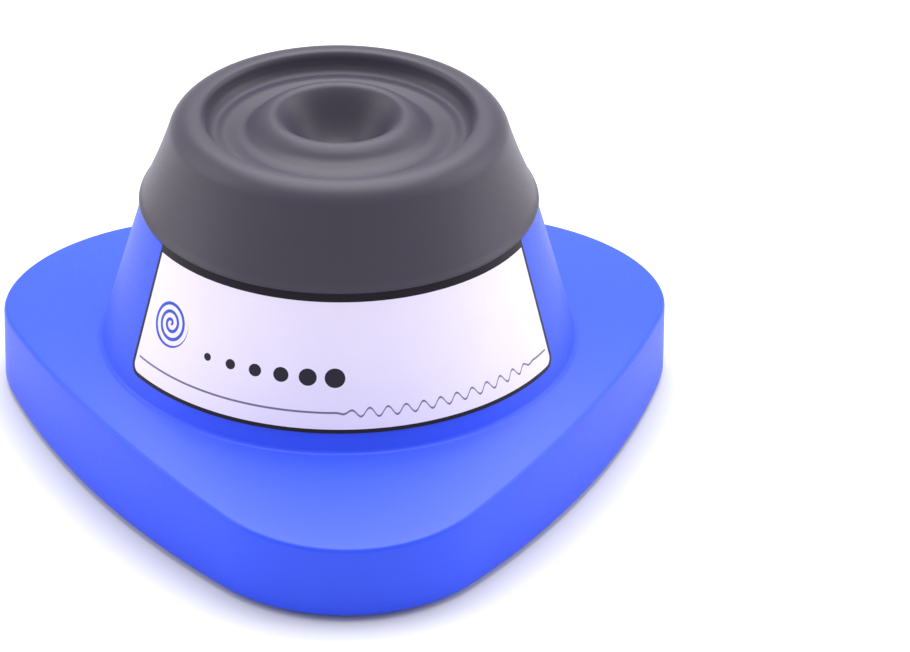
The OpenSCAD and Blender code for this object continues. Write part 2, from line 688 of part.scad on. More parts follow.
on_spindle() upper_housing();
on_spindle() bottom_cover();
on_spindle() front_label();
on_spindle() ballast_plate();
on_spindle() ballast_screws();
on_spindle() cover_screws();
on_spindle() foot_front();
on_spindle() foot_left();
on_spindle() foot_right();
on_spindle() rubber_skirt();
on_spindle() rubber_diaphragm();
on_spindle() rubber_cup();
on_spindle() cup_insert();
on_spindle() bearing_outer_race();
on_spindle() bearing_balls();
on_spindle() bearing_inner_race();
on_spindle() eccentric_hub();
on_spindle() counterweight();
on_spindle() hub_set_screw();
on_spindle() motor_shaft();
on_spindle() armature_core();
on_spindle() armature_windings();
on_spindle() commutator();
on_spindle() motor_can();
on_spindle() motor_magnets();
on_spindle() motor_end_cap();
on_spindle() motor_brushes();
on_spindle() motor_terminals();
on_spindle() motor_screws();
on_spindle() motor_bracket();
on_spindle() guide_screws();
on_spindle() press_springs();
on_spindle() limit_switch();
on_spindle() switch_plunger();
on_spindle() switch_screws();
on_spindle() control_board();
on_spindle() board_parts();
on_spindle() board_screws();
on_spindle() inlet_socket();
on_spindle() inlet_pin();
on_spindle() motor_leads();
on_spindle() switch_leads();
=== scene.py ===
import json
import math
import bmesh
import bpy
from mathutils import Matrix, Vector


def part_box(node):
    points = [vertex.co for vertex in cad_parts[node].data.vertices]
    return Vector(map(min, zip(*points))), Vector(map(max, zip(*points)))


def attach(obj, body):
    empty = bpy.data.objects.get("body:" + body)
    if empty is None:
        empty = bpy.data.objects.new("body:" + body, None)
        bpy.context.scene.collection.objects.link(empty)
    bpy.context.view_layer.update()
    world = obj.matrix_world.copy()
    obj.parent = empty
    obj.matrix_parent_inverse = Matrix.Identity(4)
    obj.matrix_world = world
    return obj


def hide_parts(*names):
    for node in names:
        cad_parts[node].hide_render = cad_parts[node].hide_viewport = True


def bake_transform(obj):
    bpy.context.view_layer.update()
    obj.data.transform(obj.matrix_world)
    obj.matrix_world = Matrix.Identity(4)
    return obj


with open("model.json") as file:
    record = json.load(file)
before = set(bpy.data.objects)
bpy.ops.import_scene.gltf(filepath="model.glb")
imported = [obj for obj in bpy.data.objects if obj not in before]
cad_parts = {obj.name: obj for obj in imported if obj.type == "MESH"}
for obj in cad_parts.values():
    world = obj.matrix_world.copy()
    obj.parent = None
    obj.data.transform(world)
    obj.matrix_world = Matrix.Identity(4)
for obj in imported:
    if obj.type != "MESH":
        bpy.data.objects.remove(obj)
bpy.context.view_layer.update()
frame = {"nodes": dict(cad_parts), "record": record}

# Touch-start vortex mixer: blue three-cornered housing, round tower with a printed label, and a
# rubber cap whose middle cup orbits. Sizes are in millimetres, angles in degrees, unless said.
MM = 0.001

# ---- Places that the frame gives ----
HOUSING_LOW, HOUSING_HIGH = (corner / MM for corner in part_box("upper_housing"))
SKIRT_LOW, SKIRT_HIGH = (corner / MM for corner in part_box("rubber_skirt"))
CUP_LOW, CUP_HIGH = (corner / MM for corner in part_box("rubber_cup"))
LABEL_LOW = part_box("front_label")[0] / MM
SPINDLE_Y = (SKIRT_LOW.y + SKIRT_HIGH.y) / 2
ORBIT = (CUP_LOW.y + CUP_HIGH.y) / 2 - SPINDLE_Y
EDGE_Z = HOUSING_LOW.z
DECK_Z = HOUSING_HIGH.z
CAP_Z = SKIRT_LOW.z
CAP_R = SKIRT_HIGH.x
CORNER_REACH = SPINDLE_Y - HOUSING_LOW.y
SIDE_REACH = HOUSING_HIGH.y - SPINDLE_Y

# ---- Housing ----
CORNERS = (-90, 30, 150)
CORNER_ROUND = 31
SIDE_BOW_R = 190
CORNER_MID = CORNER_REACH - CORNER_ROUND
BOW_MID = SIDE_BOW_R - SIDE_REACH
CORNER_HALF = 60 - math.degrees(math.atan2(CORNER_MID * math.sin(math.pi / 3), BOW_MID + CORNER_MID / 2))
WALL = 2.5
WALL_H = 13.9
BRIM_RISE = 0.213
EDGE_ROUND = 0.8
LOW_ROUND = 0.4
DRAFT = 0.2
TOWER_FOOT = (44.7, EDGE_Z + 23)
TOWER_TOP = (37.3, CAP_Z)
TOWER_FILLET = 1.2
DECK_HOLE_R = 25
BOSS_REACH = 42.3
INLET_Z = 11.6
INLET_MOUTH_R = 5

# ---- Rubber cap, with heights above its lower edge ----
RUBBER_T = 2.2
WEB_T = 1.2
RIM = (27.2, 12.75)
RIM_ROUND = 5.25
SIDE_HOLLOW = 0.26

# ---- Label, measured along the tower from the label's lower edge ----
LABEL_HALF = 62.5
LABEL_T = 0.3
LABEL_CORNER = 2.4
LABEL_MID_R = 41
DOTS_START = -29
DOTS_STEP = 4.9

# ---- Sprung guides and small hardware ----
GUIDE_REACH = 22
SPRING_WIRE_R = 0.35
SPRING_MID_R = 2.8
LEAD_R = 0.6


# ======== Small tools ========
def polar(radius, angle):
    return radius * math.cos(math.radians(angle)), radius * math.sin(math.radians(angle))


def mix(a, b, share):
    return a + (b - a) * share


def arc(mid, radius, start, end, steps):
    """Points along an arc, both ends included."""
    turns = [mix(start, end, i / steps) for i in range(steps + 1)]
    return [(mid[0] + polar(radius, t)[0], mid[1] + polar(radius, t)[1]) for t in turns]


def curved_line(points, steps=6):
    """A smooth line through the points, which bends most where they turn most."""
    ends = [points[0], *points, points[-1]]
    line = []
    for before, a, b, after in zip(ends, ends[1:], ends[2:], ends[3:]):
        for i in range(steps):
            t = i / steps
            weights = (
                -0.5 * t ** 3 + t ** 2 - 0.5 * t,
                1.5 * t ** 3 - 2.5 * t ** 2 + 1,
                -1.5 * t ** 3 + 2 * t ** 2 + 0.5 * t,
                0.5 * t ** 3 - 0.5 * t ** 2,
            )
            corners = (before, a, b, after)
            line.append(tuple(sum(w * p[k] for w, p in zip(weights, corners)) for k in (0, 1)))
    return line + [points[-1]]


def offset_line(line, distance):
    """The line moved sideways, to the right of its direction."""
    moved = []
    for i, point in enumerate(line):
        ahead = Vector(line[min(i + 1, len(line) - 1)]) - Vector(line[max(i - 1, 0)])
        side = Vector((ahead.y, -ahead.x)).normalized() * distance
        moved.append((point[0] + side.x, point[1] + side.y))
    return moved


def smoothstep(share):
    share = min(1, max(0, share))
    return share * share * (3 - 2 * share)


def finished(name, mesh, material, sharp=35):
    """An object of the mesh, smooth except at edges sharper than an angle, with one material."""
    mesh.polygons.foreach_set("use_smooth", [True] * len(mesh.polygons))
    mesh.set_sharp_from_angle(angle=math.radians(sharp))
    mesh.materials.clear()
    mesh.materials.append(material)
    mesh.name = name
    piece = bpy.data.objects.new(name, mesh)
    bpy.context.scene.collection.objects.link(piece)
    return piece


def mesh_of(points, faces):
    """A mesh from points in millimetres, with its faces turned outwards."""
    mesh = bpy.data.meshes.new("shape")
    mesh.from_pydata([Vector(p) * MM for p in points], [], faces)
    shape = bmesh.new()
    shape.from_mesh(mesh)
    bmesh.ops.remove_doubles(shape, verts=shape.verts, dist=1e-7)
    bmesh.ops.recalc_face_normals(shape, faces=shape.faces)
    shape.to_mesh(mesh)
    shape.free()
    return mesh


def ring_faces(rows, columns):
    """Faces of a closed tube of rings, whose last ring joins its first."""
    faces = []
    for r in range(rows):
        for c in range(columns):
            here, there = r * columns, (r + 1) % rows * columns
            n = (c + 1) % columns
            faces.append((here + c, here + n, there + n, there + c))
    return faces


def turned(profile, steps=288, middle=(0, 0)):
    """A closed solid turned from a closed profile of (radius, height) or (radius, height, shift along Y)."""
    points = []
    for row in profile:
        shift = row[2] if len(row) > 2 else 0
        for c in range(steps):
            x, y = polar(max(row[0], 1e-4), 360 * c / steps)
            points.append((middle[0] + x, middle[1] + y + shift, row[1]))
    return mesh_of(points, ring_faces(len(profile), steps))


def plain_mesh(piece):
    """The piece's mesh with its modifiers applied. The piece itself is removed."""
    bpy.context.view_layer.update()
    mesh = bpy.data.meshes.new_from_object(piece.evaluated_get(bpy.context.evaluated_depsgraph_get()))
    bpy.data.objects.remove(piece)
    return mesh


def cut(mesh, tool, operation):
    """Joins a tool mesh to a mesh, or takes it away."""
    body = bpy.data.objects.new("body", mesh)
    cutter = bpy.data.objects.new("cutter", tool)
    for part in (body, cutter):
        bpy.context.scene.collection.objects.link(part)
    modifier = body.modifiers.new("cut", "BOOLEAN")
    modifier.operation = operation
    modifier.solver = "EXACT"
    modifier.object = cutter
    result = plain_mesh(body)
    bpy.data.objects.remove(cutter)
    return result


# ======== Materials ========
def linear(colour):
    """The linear colour of an sRGB hex value."""
    parts = [int(colour[i:i + 2], 16) / 255 for i in (1, 3, 5)]
    return [p / 12.92 if p <= 0.04045 else ((p + 0.055) / 1.055) ** 2.4 for p in parts] + [1]


def add(tree, kind, values={}, links={}, **settings):
    """Adds one node with its settings, its inputs' values and its inputs' links."""
    node = tree.nodes.new(kind)
    for name, value in settings.items():
        setattr(node, name, value)
    for name, value in values.items():
        node.inputs[name].default_value = value
    for name, socket in links.items():
        tree.links.new(socket, node.inputs[name])
    return node


def new_material(name):
    """An empty material, with its tree and the output that its shader goes to."""
    material = bpy.data.materials.new(name)
    material.use_nodes = True
    material.node_tree.nodes.clear()
    return material, material.node_tree


def darker(colour, share):
    """A linear colour with a share of its light taken away."""
    return [c * (1 - share) for c in linear(colour)[:3]] + [1]


def surface(name, colour, roughness, grain, relief, mottle=0.06, stretch=(1, 1, 1), turned_pitch=None,
            band_pitch=None, **constants):
    """A finish: grain of a size and height in millimetres, uneven gloss and faintly uneven colour.
    Turned marks circle the spindle, and bands lie in level layers, each at its own pitch."""
    material, tree = new_material(name)
    place = add(tree, "ShaderNodeTexCoord").outputs["Object"]
    place = add(tree, "ShaderNodeMapping", {"Location": (0, -SPINDLE_Y * MM, 0)}, {"Vector": place}).outputs[0]
    drawn = add(tree, "ShaderNodeMapping", {"Scale": stretch}, {"Vector": place}).outputs[0]
    fine = add(tree, "ShaderNodeTexNoise", {"Scale": 1 / (grain * MM), "Detail": 4.0, "Roughness": 0.6}, {"Vector": drawn})
    broad = add(tree, "ShaderNodeTexNoise", {"Scale": 1 / (18 * MM), "Detail": 3.0}, {"Vector": place})
    colours = add(tree, "ShaderNodeValToRGB", {}, {"Fac": broad.outputs[0]})
    colours.color_ramp.elements[0].position = 0.3
    colours.color_ramp.elements[0].color = linear(colour)
    colours.color_ramp.elements[1].position = 0.7
    colours.color_ramp.elements[1].color = darker(colour, mottle)
    gloss = add(tree, "ShaderNodeMapRange", {
        "From Min": 0.3, "From Max": 0.7, "To Min": roughness * 0.9, "To Max": min(1, roughness * 1.12),
    }, {"Value": fine.outputs[0]})
    bump = add(tree, "ShaderNodeBump", {"Distance": relief * MM}, {"Height": fine.outputs[0]})
    for pitch, kind in ((turned_pitch, "RINGS"), (band_pitch, "BANDS")):
        if pitch:
            # A wave texture repeats every pi / 10 of its coordinate, hence the scale
            marks = add(tree, "ShaderNodeTexWave", {"Scale": math.pi / (10 * pitch * MM), "Distortion": 0.4},
                        {"Vector": place}, wave_type=kind, bands_direction="Z", rings_direction="Z")
            bump = add(tree, "ShaderNodeBump", {"Distance": 0.04 * pitch * MM},
                       {"Height": marks.outputs["Fac"], "Normal": bump.outputs[0]})
    shader = add(tree, "ShaderNodeBsdfPrincipled", constants, {
        "Base Color": colours.outputs[0], "Roughness": gloss.outputs[0], "Normal": bump.outputs[0],
    })
    add(tree, "ShaderNodeOutputMaterial", {}, {"Surface": shader.outputs[0]})
    return material


METAL = {"Metallic": 1.0}
FINISHES = {
    # Injection-moulded ABS, spark-eroded mould: deep clear blue with a soft satin sheen
    "blue_shell": surface("satin_blue_abs", "#1649f6", 0.46, 0.5, 0.006, 0.03, IOR=1.53),
    # ABS from a coarse-textured mould: near-black, dull, with a leathery grain
    "dark_cover": surface("textured_black_abs", "#2b2d33", 0.6, 0.9, 0.03, IOR=1.53),
    # Compression-moulded silicone: matt violet-grey, broad faint highlights, dusty at its edges
    "cap_rubber": surface("matt_silicone", "#3e3948", 0.44, 0.4, 0.008, 0.05, IOR=1.43,
                          **{"Sheen Weight": 0.12, "Sheen Roughness": 0.3, "Sheen Tint": linear("#e4d8ff")}),
    # Nitrile rubber: black, dull, finely pitted
    "foot_rubber": surface("nitrile_rubber", "#26272b", 0.75, 0.5, 0.02, IOR=1.52),
    # Laser-cut plate, bright zinc: pale grey with a cloudy, faintly blue spangle
    "ballast_steel": surface("zinc_plated_plate", "#a9adb4", 0.38, 2.5, 0.01, 0.2, **METAL),
    # Cold-headed and zinc-plated: bright with soft scuffs
    "screw_steel": surface("zinc_plated_screw", "#c2c5ca", 0.28, 0.4, 0.008, 0.12, **METAL),
    # Unfilled nylon 6: creamy white that lets a little light in
    "white_nylon": surface("natural_nylon", "#dedcd2", 0.45, 0.6, 0.008, 0.04, IOR=1.53,
                           **{"Subsurface Weight": 0.15, "Subsurface Scale": 0.002}),
    # Ground and honed chrome steel: near mirror with fine rings from grinding
    "bearing_steel": surface("ground_bearing_steel", "#cfd2d6", 0.14, 0.3, 0.002, 0.04, turned_pitch=0.3, **METAL),
    # Free-cutting brass off the lathe: warm yellow with turned rings
    "brass": surface("turned_brass", "#c9a452", 0.25, 0.4, 0.004, 0.08, turned_pitch=0.4, **METAL),
    # Sawn and tumbled mild steel: grey, with its saw marks drawn along Y
    "weight_steel": surface("tumbled_steel", "#8f9298", 0.42, 0.35, 0.015, 0.15, (1, 0.1, 1), **METAL),
    # Black oxide: dark, oily, slightly blue
    "black_screw": surface("black_oxide_steel", "#34363b", 0.35, 0.3, 0.006, 0.1, **METAL),
    # Punched silicon-steel sheets in a stack: dark grey edges in 0.5 mm layers
    "lamination_steel": surface("stacked_laminations", "#6f737a", 0.45, 0.4, 0.01, 0.15, band_pitch=0.5, **METAL),
    # Enamelled magnet wire, 0.3 mm: copper-red turns under a glassy varnish
    "copper_wire": surface("enamelled_wire", "#b4602c", 0.3, 0.5, 0.01, 0.2, band_pitch=0.3,
                           **METAL, **{"Coat Weight": 0.6, "Coat Roughness": 0.15}),
    # Hard-drawn copper, turned: pinkish, polished where the brushes run
    "copper_bar": surface("turned_copper", "#cd8c5c", 0.22, 0.4, 0.004, 0.1, turned_pitch=0.35, **METAL),
    # Deep-drawn steel, zinc-plated: satin, streaked along the draw
    "zinc_can": surface("drawn_zinc_can", "#b4b8be", 0.32, 0.5, 0.006, 0.1, (1, 1, 0.08), **METAL),
    # Sintered ferrite: charcoal, stony, with open pores
    "ferrite": surface("sintered_ferrite", "#3c3e42", 0.7, 0.25, 0.03, 0.15, IOR=2.0),
    # Stamped spring brass: bright yellow with rolled streaks along X
    "brush_brass": surface("stamped_brass", "#d6b065", 0.3, 0.4, 0.006, 0.08, (0.1, 1, 1), **METAL),
    # Cold-rolled steel, stamped and zinc-nickel plated: dull grey with rolling streaks along X
    "bracket_steel": surface("stamped_bracket_steel", "#868b94", 0.4, 0.5, 0.01, 0.12, (0.1, 1, 1), **METAL),
    # Patented music wire: bright, drawn, lightly oiled
    "spring_steel": surface("drawn_spring_wire", "#b9bdc4", 0.2, 0.2, 0.003, 0.08, **METAL),
    # Glass-filled PBT: black with a slight sparkle of fibre at the surface
    "switch_black": surface("moulded_black_pbt", "#202227", 0.5, 0.3, 0.012, 0.1, IOR=1.57),
    # Acetal: slippery clear red
    "plunger_red": surface("moulded_red_acetal", "#a32c25", 0.35, 0.4, 0.004, 0.05, IOR=1.48),
    # Solder mask over copper: glossy green, darker where no copper lies under it
    "board_green": surface("green_solder_mask", "#2b7a49", 0.25, 1.6, 0.02, 0.3, IOR=1.55),
    # Transfer-moulded epoxy: charcoal, matt, faintly grainy
    "board_black": surface("moulded_epoxy", "#2a2c30", 0.6, 0.3, 0.01, 0.1, IOR=1.55),
    # Bright nickel over brass: warm mirror
    "inlet_nickel": surface("nickel_plate", "#cfccc4", 0.12, 0.4, 0.002, 0.05, **METAL),
    # PVC insulation: red and black, soft gloss, faintly drawn along its length
    "lead_red": surface("red_pvc", "#b02d26", 0.35, 0.5, 0.005, 0.05, IOR=1.54),
    "lead_black": surface("black_pvc", "#24252a", 0.38, 0.5, 0.005, 0.08, IOR=1.54),
}


def formula(tree, operation, *terms):
    """The output of one sum over terms that are numbers or sockets."""
    values = {i: t for i, t in enumerate(terms) if isinstance(t, (int, float))}
    links = {i: t for i, t in enumerate(terms) if i not in values}
    return add(tree, "ShaderNodeMath", values, links, operation=operation).outputs[0]


def printed_film(height):
    """Gloss polyester film, printed from behind: pale lilac panel, near-black border whose top band is widened with
    painted shadow under the cap's lip, a grey rule that breaks into ripples, and a plain swirl. Its UV map holds
    millimetres over 100."""
    material, tree = new_material("printed_polyester_film")
    uv = add(tree, "ShaderNodeUVMap", uv_map="print").outputs[0]
    parts = add(tree, "ShaderNodeSeparateXYZ", {}, {0: uv}).outputs
    x, y = (formula(tree, "MULTIPLY", parts[i], 100.0) for i in (0, 1))
    half = LABEL_MID_R * math.radians(LABEL_HALF)
    side = formula(tree, "SUBTRACT", half, formula(tree, "ABSOLUTE", x))
    near_side = formula(tree, "MAXIMUM", formula(tree, "SUBTRACT", LABEL_CORNER, side), 0.0)
    near_foot = formula(tree, "MAXIMUM", formula(tree, "SUBTRACT", LABEL_CORNER, y), 0.0)
    reach = formula(tree, "SQRT", formula(
        tree, "ADD", formula(tree, "POWER", near_side, 2.0), formula(tree, "POWER", near_foot, 2.0)))
    inside = formula(tree, "SUBTRACT", LABEL_CORNER, reach)
    frame_line = formula(tree, "LESS_THAN", inside, 0.75)
    # The dark top band is the printed border widened with painted shadow, where the cap's lip shades the film
    top_border_and_painted_shadow = formula(tree, "GREATER_THAN", y, height - 1.55)
    border_and_painted_shadow = formula(tree, "MAXIMUM", frame_line, top_border_and_painted_shadow)
    # Ripples fade in and out over the right half of the rule
    swell = add(tree, "ShaderNodeMapRange", {"From Min": -3.0, "From Max": 4.0}, {"Value": x},
                interpolation_type="SMOOTHSTEP").outputs[0]
    fade = add(tree, "ShaderNodeMapRange", {"From Min": 40.0, "From Max": 33.0}, {"Value": x},
               interpolation_type="SMOOTHSTEP").outputs[0]
    ripple = formula(tree, "SINE", formula(tree, "MULTIPLY", x, 2 * math.pi / 3.2))
    ripple = formula(tree, "MULTIPLY", formula(tree, "MULTIPLY", swell, fade), formula(tree, "MULTIPLY", ripple, 0.85))
    off_line = formula(tree, "ABSOLUTE", formula(tree, "SUBTRACT", formula(tree, "SUBTRACT", y, 3.9), ripple))
    rule = formula(tree, "MULTIPLY", formula(tree, "LESS_THAN", off_line, 0.2), formula(tree, "GREATER_THAN", side, 1.7))
    # The swirl is a line that winds out from its middle
    swirl_x = formula(tree, "SUBTRACT", x, -half + 8.2)
    swirl_y = formula(tree, "SUBTRACT", y, 13.5)
    swirl_r = formula(tree, "SQRT", formula(
        tree, "ADD", formula(tree, "POWER", swirl_x, 2.0), formula(tree, "POWER", swirl_y, 2.0)))
    turn = formula(tree, "DIVIDE", formula(tree, "ARCTAN2", swirl_y, swirl_x), 2 * math.pi)
    wound = formula(tree, "FRACT", formula(tree, "ADD", formula(tree, "SUBTRACT", formula(
        tree, "DIVIDE", swirl_r, 1.5), turn), 4.0))
    swirl = formula(tree, "MULTIPLY", formula(tree, "LESS_THAN", wound, 0.42), formula(tree, "LESS_THAN", swirl_r, 4.6))
    # Six dots that grow with the speed stand on one line
    step = formula(tree, "DIVIDE", formula(tree, "SUBTRACT", x, DOTS_START), DOTS_STEP)
    cell = formula(tree, "FLOOR", step)
    dot_x = formula(tree, "MULTIPLY", formula(tree, "SUBTRACT", formula(tree, "SUBTRACT", step, cell), 0.5), DOTS_STEP)
    dot_r = formula(tree, "SQRT", formula(tree, "ADD", formula(tree, "POWER", dot_x, 2.0), formula(
        tree, "POWER", formula(tree, "SUBTRACT", y, 10.5), 2.0)))
    in_row = formula(tree, "MULTIPLY", formula(tree, "GREATER_THAN", cell, -0.5), formula(tree, "LESS_THAN", cell, 5.5))
    dot_size = formula(tree, "ADD", formula(tree, "MULTIPLY", cell, 0.22), 0.75)
    dots = formula(tree, "MULTIPLY", in_row, formula(tree, "LESS_THAN", dot_r, dot_size))
    paper = add(tree, "ShaderNodeTexNoise", {"Scale": 1 / (9 * MM), "Detail": 2.0}, {
        "Vector": add(tree, "ShaderNodeTexCoord").outputs["Object"]})
    panel = add(tree, "ShaderNodeMix", {6: linear("#f0e8ff"), 7: linear("#ebe2fd")},
                {0: paper.outputs[0]}, data_type="RGBA").outputs[2]
    # The last ink is the near-black border, whose top band also carries painted shadow under the cap
    for mask, ink in ((rule, "#78718c"), (swirl, "#3b57c8"), (dots, "#2a2733"), (border_and_painted_shadow, "#1c1822")):
        panel = add(tree, "ShaderNodeMix", {7: linear(ink)}, {0: mask, 6: panel}, data_type="RGBA").outputs[2]
    waves = add(tree, "ShaderNodeBump", {"Distance": 0.01 * MM}, {"Height": paper.outputs[0]})
    shader = add(tree, "ShaderNodeBsdfPrincipled", {"Roughness": 0.34, "IOR": 1.45, "Specular IOR Level": 0.22}, {
        "Base Color": panel, "Normal": waves.outputs[0],
    })
    add(tree, "ShaderNodeOutputMaterial", {}, {"Surface": shader.outputs[0]})
    return material


# ======== Camera, light and floor ========
def camera():
    data = bpy.data.cameras.new("camera")
    data.lens = 168.13
    data.sensor_width = 36
    data.clip_end = 20
    view = bpy.data.objects.new("camera", data)
    view.location = Vector((-23.84, -703.66, 431.61)) * MM
    turns = ((-3.724, "Z"), (60.052, "X"), (1.024, "Z"))
    aim = Matrix.Identity(3)
    for angle, axis in turns:
        aim = aim @ Matrix.Rotation(math.radians(angle), 3, axis)
    view.rotation_euler = aim.to_euler()
    bpy.context.scene.collection.objects.link(view)
    bpy.context.scene.camera = view


def softbox(name, at, size, power):
    """A square area light that faces the object."""
    data = bpy.data.lights.new(name, "AREA")
    data.shape = "SQUARE"
    data.size = size
    data.energy = power
    light = bpy.data.objects.new(name, data)
    light.location = at
    light.rotation_euler = (Vector((0, 0, 0.03)) - Vector(at)).to_track_quat("-Z", "Y").to_euler()
    bpy.context.scene.collection.objects.link(light)


def studio():
    world = bpy.data.worlds.new("studio")
    world.use_nodes = True
    world.node_tree.nodes.clear()
    glow = add(world.node_tree, "ShaderNodeBackground", {"Color": linear("#ffffff"), "Strength": 0.64})
    add(world.node_tree, "ShaderNodeOutputWorld", {}, {"Surface": glow.outputs[0]})
    bpy.context.scene.world = world
    softbox("top_softbox", (0.05, 0.42, 1.05), 1.1, 18)
    softbox("left_softbox", (-1.0, 0.15, 0.5), 0.8, 4.3)
    softbox("right_softbox", (1.0, 0.15, 0.5), 0.8, 4.8)
    bpy.context.scene.view_settings.view_transform = "Standard"
    mesh = bpy.data.meshes.new("floor")
    mesh.from_pydata([(-6, -6, 0), (6, -6, 0), (6, 6, 0), (-6, 6, 0)], [], [(0, 1, 2, 3)])
    # Matt vinyl roll: pale, even, with no pattern that shows
    finished("floor", mesh, surface("pale_vinyl", "#e2e2e2", 0.9, 3, 0.01, 0.01))


# ======== Housing ========
def outline(inset):
    """Points of the footprint drawn in by an inset, as (x, y) from the spindle."""
    corner_steps, side_steps = 40, 54
    points = []
    for a in CORNERS:
        mid = polar(CORNER_MID, a)
        points += arc(mid, CORNER_ROUND - inset, a - CORNER_HALF, a + CORNER_HALF, corner_steps)[:-1]
        mid = polar(-BOW_MID, a + 60)
        points += arc(mid, SIDE_BOW_R - inset, a + CORNER_HALF, a + 120 - CORNER_HALF, side_steps)[:-1]
    return points


def brim_z(radius, inset=0):
    return EDGE_Z + WALL_H + (CORNER_REACH - radius) * BRIM_RISE - inset * math.hypot(1, BRIM_RISE)


TOWER_LEAN = math.degrees(math.atan2(TOWER_FOOT[0] - TOWER_TOP[0], TOWER_TOP[1] - TOWER_FOOT[1]))
BRIM_LEAN = math.degrees(math.atan(BRIM_RISE))


def tower_r(z, inset=0):
    lean = math.radians(TOWER_LEAN)
    return TOWER_FOOT[0] - inset / math.cos(lean) - (z - TOWER_FOOT[1]) * math.tan(lean)


def fillet_mid():
    """Middle of the hollow fillet, a fillet's radius off both the brim and the tower."""
    out = TOWER_FILLET
    lean, slope = math.radians(TOWER_LEAN), math.radians(BRIM_LEAN)
    tower_d = TOWER_FOOT[0] * math.cos(lean) + TOWER_FOOT[1] * math.sin(lean) + out
    brim_d = CORNER_REACH * math.sin(slope) + (EDGE_Z + WALL_H) * math.cos(slope) + out
    across = math.cos(lean) * math.cos(slope) - math.sin(lean) * math.sin(slope)
    return (
        (tower_d * math.cos(slope) - brim_d * math.sin(lean)) / across,
        (brim_d * math.cos(lean) - tower_d * math.sin(slope)) / across,
    )


def neck_r(z):
    """Outside of the neck that the cap's side sits on."""
    foot = (CAP_R - RUBBER_T - 0.2, CAP_Z)
    return foot[0] - (z - foot[1]) * 0.408


def round_rows(inset):
    """The turned part of the shell, from the brim's side of the fillet to the deck's hole, as (radius, height)."""
    step_z = CAP_Z - 0.4 - inset
    rows = arc(fillet_mid(), TOWER_FILLET + inset, 270 - BRIM_LEAN, 180 + TOWER_LEAN, 8)
    foot = rows[-1]
    rows += [(tower_r(z, inset), z) for z in (mix(foot[1], step_z - 0.3, i / 6) for i in range(1, 7))]
    rows += [(tower_r(step_z, inset) - 0.3, step_z), (neck_r(step_z) - inset, step_z)]
    rows += [(neck_r(DECK_Z - inset) - inset, DECK_Z - inset), (DECK_HOLE_R, DECK_Z - inset)]
    return rows


def housing_rows(inset):
    """Rings of the shell from its lower edge to the deck's hole, each a list of points."""
    rings = []
    edge = outline(inset + DRAFT)
    top = [brim_z(math.hypot(*p), inset) for p in edge]
    if inset == 0:
        low = [(LOW_ROUND, 0), (LOW_ROUND * 0.3, LOW_ROUND * 0.3), (0, LOW_ROUND)]
    else:
        low = [(0, 0)]
    for back, up in low:
        rings.append([(x, y, EDGE_Z + up) for x, y in outline(inset + back)])
    for i in range(1, 7):
        side = outline(inset + DRAFT * i / 6)
        rings.append([(x, y, mix(EDGE_Z + LOW_ROUND, z - EDGE_ROUND, i / 6)) for (x, y), z in zip(side, top)])
    inner = outline(inset + DRAFT + EDGE_ROUND)
    for i in range(1, 6):
        t = i / 5
        ring = []
        for a, z, b in zip(edge, top, inner):
            reach = math.hypot(*b)
            ring.append((
                mix(a[0], b[0], t * t), mix(a[1], b[1], t * t),
                (1 - t) ** 2 * (z - EDGE_ROUND) + 2 * t * (1 - t) * z + t * t * brim_z(reach, inset),
            ))
        rings.append(ring)
    start_r = round_rows(inset)[0][0]
    for i in range(1, 10):
        ring = []
        for x, y in inner:
            reach = math.hypot(x, y)
            r = mix(reach, start_r, i / 10)
            ring.append((x * r / reach, y * r / reach, brim_z(r, inset)))
        rings.append(ring)
    for r, z in round_rows(inset):
        rings.append([(x * r / math.hypot(x, y), y * r / math.hypot(x, y), z) for x, y in inner])
    return rings


def blue_housing():
    rings = housing_rows(0) + housing_rows(WALL)[::-1]
    points = [(x, y + SPINDLE_Y, z) for ring in rings for x, y, z in ring]
    shell = mesh_of(points, ring_faces(len(rings), len(rings[0])))
    for a in CORNERS:
        x, y = polar(BOSS_REACH, a)
        boss = turned([(1.25, 4.2), (4, 4.2), (4, 20), (1.25, 20)], 48, (x, y + SPINDLE_Y))
        shell = cut(shell, boss, "UNION")
    back = SIDE_REACH - 3 * WALL
    mouth = turned([(0, back), (INLET_MOUTH_R, back), (INLET_MOUTH_R, CORNER_REACH), (0, CORNER_REACH)], 96)
    mouth.transform(Matrix.Translation((0, SPINDLE_Y * MM, INLET_Z * MM)) @ Matrix.Rotation(-math.pi / 2, 4, "X"))
    shell = cut(shell, mouth, "DIFFERENCE")
    piece = finished("blue_housing", shell, FINISHES["blue_shell"])
    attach(piece, "base")
    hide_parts("upper_housing")


# ======== Rubber cap ========
def cap_line():
    """The cap's outer line from its lower lip over the rim and the web to the middle of the bowl, as (radius, height)."""
    span = Vector((RIM[0] - CAP_R, RIM[1]))
    lean = math.degrees(math.atan2(span.y, span.x) - math.asin(RIM_ROUND / span.length)) - 90
    rim = arc(RIM, RIM_ROUND, lean, 90, 16)
    lip = [(CAP_R - 0.5, 0), (CAP_R - 0.12, 0.1), (CAP_R, 0.3), (CAP_R - 0.08, 0.55), (CAP_R - 0.4, 0.85)]
    side = []
    for i in range(1, 14):
        t = i / 14
        hollow = SIDE_HOLLOW * 4 * t * (1 - t)
        side.append((mix(lip[-1][0], rim[0][0], t) - hollow, mix(lip[-1][1], rim[0][1], t) - hollow * 0.4))
    top = RIM[1] + RIM_ROUND
    edge = [(26.6, top - 0.03), (26.1, top - 0.16), (25.75, top - 0.45), (25.55, top - 0.85)]
    web = curved_line([
        (25.45, top - 1.3), (25.3, 16.0), (25.0, 15.1), (24.4, 14.35), (23.4, 13.95), (21.6, 14.3), (20.2, 14.05),
        (18.8, 13.75), (17.6, 13.95), (16.6, 14.6), (15.8, 15.25), (14.7, 16.05), (13.6, 16.6), (12.6, 16.8),
        (11.6, 16.4), (10.6, 15.2), (9.4, 13.3), (8.0, 11.2), (6.4, 9.4), (4.4, 7.9), (2.2, 7.15), (0, 7.0),
    ])
    return lip + side + rim + edge + web


